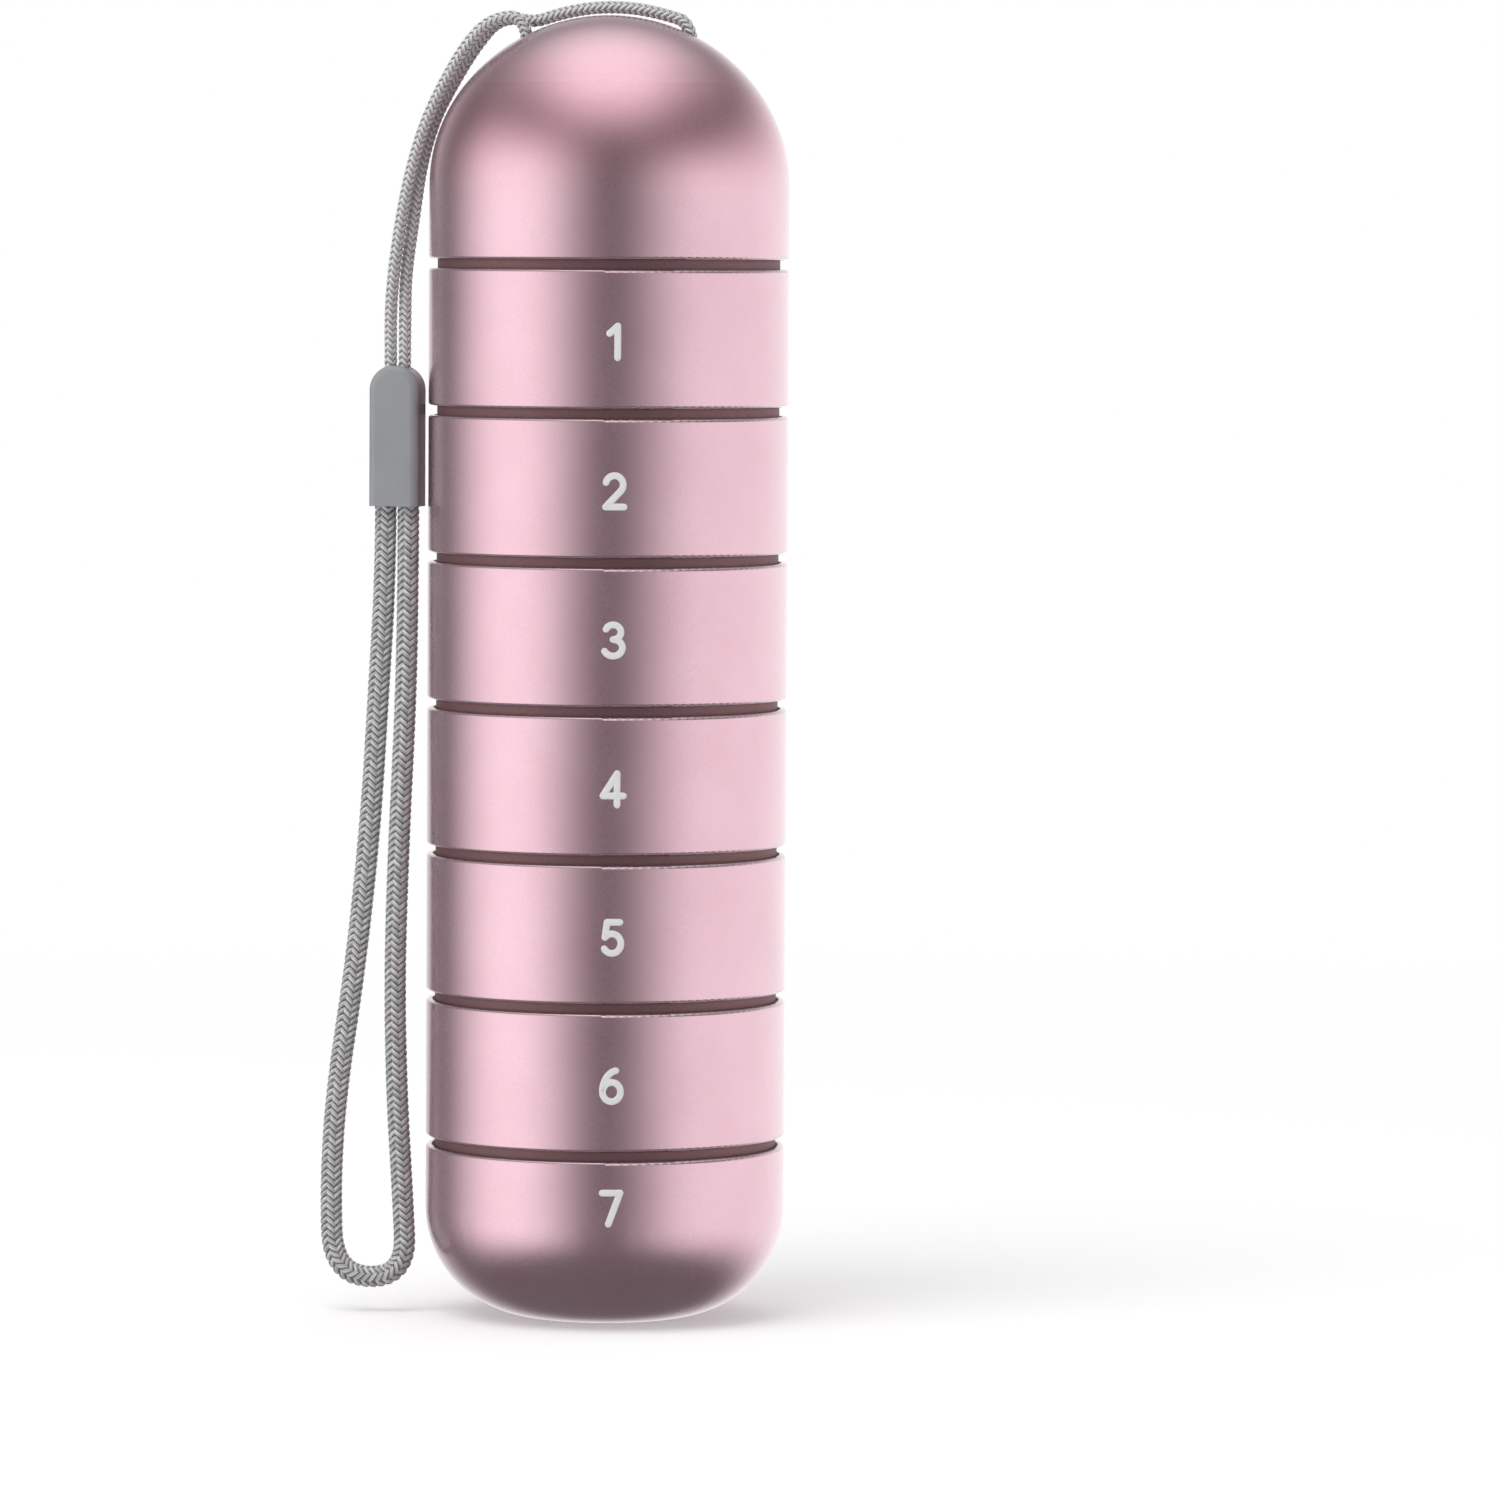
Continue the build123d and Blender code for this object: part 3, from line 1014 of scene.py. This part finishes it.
@dataclass
class Studio:
    """A white studio: floor, soft cards of light, one lamp, and the camera at the photograph's angle.

    The camera's turns and the heights of the cards and the sky are in degrees.
    """

    eye: Point = (0.028489, -1.073702, 0.134876)
    pitch: float = -3.395
    yaw: float = -0.561
    roll: float = 0.344
    lens: float = 205.886
    sensor: float = 36.0
    cards: tuple[SoftCard, ...] = (
        SoftCard(-63.0, 6.0, 66.0, 8.0, 48.0, 1.15),
        SoftCard(120.0, 56.0, 120.0, 0.0, 38.0, 0.94),
    )
    card_foot: float = -14.0
    card_gone: float = -46.0
    room_level: float = 0.17
    sky_start: float = 22.0
    sky_full: float = 80.0
    sky_level: float = 1.11
    sky_half: float = 0.2
    sky_edge: float = 0.85
    sky_side: float = 0.3
    lamp_place: Point = (-0.35, -0.45, 1.05)
    lamp_target: Point = (0.0, 0.0, 0.07)
    lamp_size: float = 0.8
    lamp_power: float = 5.0
    floor_reach: float = 4.0
    mirrored_near: float = 0.001
    mirrored_far: float = 0.008
    floor_colour: Colour = (0.8, 0.8, 0.8)
    floor_lift: float = 0.3
    floor_near: float = 0.16
    floor_far: float = 0.6

    def camera(self) -> None:
        """Sets the camera where the photograph was taken from."""
        pitch, yaw, roll = (math.radians(angle) for angle in (self.pitch, self.yaw, self.roll))
        ahead = Vector((math.sin(yaw) * math.cos(pitch), math.cos(yaw) * math.cos(pitch), math.sin(pitch)))
        level = ahead.cross(Vector((0.0, 0.0, 1.0))).normalized()
        upright = level.cross(ahead)
        right = level * math.cos(roll) + upright * math.sin(roll)
        up = upright * math.cos(roll) - level * math.sin(roll)
        data = bpy.data.cameras.new("camera")
        data.lens, data.sensor_width = self.lens, self.sensor
        camera = bpy.data.objects.new("camera", data)
        bpy.context.scene.collection.objects.link(camera)
        turned = Matrix((right, up, -ahead)).transposed().to_4x4()
        camera.matrix_world = Matrix.Translation(Vector(self.eye)) @ turned
        bpy.context.scene.camera = camera

    def world(self) -> None:
        """Lights the room with soft cards, and shows the camera plain white."""
        world = bpy.data.worlds.new("studio")
        bpy.context.scene.world = world
        world.use_nodes = True
        wires = Wiring(world.node_tree)
        way = wires.add("ShaderNodeTexCoord").outputs["Generated"]
        parts = wires.add("ShaderNodeSeparateXYZ", {"Vector": way}).outputs
        front = wires.math("MULTIPLY", parts["Y"], -1.0)
        azimuth = wires.math("DEGREES", wires.math("ARCTAN2", parts["X"], front))
        height = wires.math("DEGREES", wires.math("ARCSINE", parts["Z"]))
        across = wires.math("ABSOLUTE", parts["X"])
        aside = wires.ease(across, self.sky_half, self.sky_edge, self.sky_level, self.sky_side)
        overhead = wires.math("MULTIPLY", wires.ease(height, self.sky_start, self.sky_full), aside)
        level = wires.math("ADD", overhead, self.room_level)
        raised = wires.ease(height, self.card_gone, self.card_foot)
        for card in self.cards:
            off = wires.math("WRAP", wires.math("SUBTRACT", azimuth, card.azimuth), 180.0, -180.0)
            lit = wires.ease(wires.math("ABSOLUTE", off), card.flat_half, card.outer_half, card.strength, 0.0)
            standing = wires.ease(height, card.top, card.fade, 1.0, 0.0)
            shown = wires.math("MULTIPLY", standing, raised)
            level = wires.math("ADD", level, wires.math("MULTIPLY", lit, shown))
        seen = wires.add("ShaderNodeLightPath").outputs["Is Camera Ray"]
        mirrored = wires.math("MULTIPLY", level, wires.math("SUBTRACT", 1.0, seen))
        strength = wires.math("ADD", mirrored, seen)
        room = wires.add("ShaderNodeBackground", {"Color": (1.0, 1.0, 1.0, 1.0), "Strength": strength})
        wires.add("ShaderNodeOutputWorld", {"Surface": room.outputs["Background"]})

    def lamp(self) -> None:
        """Hangs one soft lamp up on the left, for the shadow on the floor."""
        data = bpy.data.lights.new("soft_lamp", "AREA")
        data.shape, data.size, data.energy = "DISK", self.lamp_size, self.lamp_power
        lamp = bpy.data.objects.new("soft_lamp", data)
        bpy.context.scene.collection.objects.link(lamp)
        aim = Vector(self.lamp_target) - Vector(self.lamp_place)
        turned = aim.to_track_quat("-Z", "Y").to_matrix().to_4x4()
        lamp.matrix_world = Matrix.Translation(Vector(self.lamp_place)) @ turned
        lamp.visible_glossy = False

    def floor(self) -> None:
        """Lays a pale floor that fades into the white behind it and keeps the object's shadow."""
        sheet = bmesh.new()
        bmesh.ops.create_grid(sheet, x_segments=1, y_segments=1, size=self.floor_reach)
        mesh = bpy.data.meshes.new("floor")
        sheet.to_mesh(mesh)
        sheet.free()
        floor = Workshop.piece("floor", mesh)
        material = bpy.data.materials.new("pale_floor")
        material.use_nodes = True
        wires = Wiring(material.node_tree)
        where = wires.add("ShaderNodeTexCoord").outputs["Object"]
        distance = wires.add("ShaderNodeVectorMath", {0: where}, operation="LENGTH").outputs["Value"]
        far = wires.ease(distance, self.floor_near, self.floor_far)
        paths = wires.add("ShaderNodeLightPath").outputs
        seen = paths["Is Camera Ray"]
        matt = wires.add("ShaderNodeBsdfDiffuse", {"Color": (*self.floor_colour, 1.0)}).outputs["BSDF"]
        lift = wires.math("MULTIPLY", seen, self.floor_lift)
        glow = wires.add("ShaderNodeEmission", {"Strength": lift}).outputs["Emission"]
        near = wires.add("ShaderNodeAddShader", {0: matt, 1: glow}).outputs["Shader"]
        white = wires.add("ShaderNodeEmission", {"Strength": 1.0}).outputs["Emission"]
        share = wires.math("MULTIPLY", far, seen)
        mixed = wires.add("ShaderNodeMixShader", {0: share, 1: near, 2: white}).outputs["Shader"]
        beyond = wires.ease(distance, self.mirrored_near, self.mirrored_far)
        through = wires.add("ShaderNodeBsdfTransparent").outputs["BSDF"]
        missed = wires.math("MULTIPLY", beyond, paths["Is Glossy Ray"])
        laid = wires.add("ShaderNodeMixShader", {0: missed, 1: mixed, 2: through}).outputs["Shader"]
        wires.add("ShaderNodeOutputMaterial", {"Surface": laid})
        mesh.materials.append(material)

    def build(self) -> None:
        """Sets up everything that isn't part of the object."""
        bpy.context.scene.view_settings.view_transform = "Standard"
        self.camera()
        self.world()
        self.lamp()
        self.floor()
        LOG.info("studio ready")


def main() -> None:
    """Builds and dresses the sub-assemblies in order."""
    logging.basicConfig(level=logging.INFO, format="%(name)s %(message)s")
    Studio().build()
    strap = Strap()
    strap.dress()
    column = Column()
    column.dress()
    DayNumbers(column).dress()


if __name__ == "__main__":
    main()
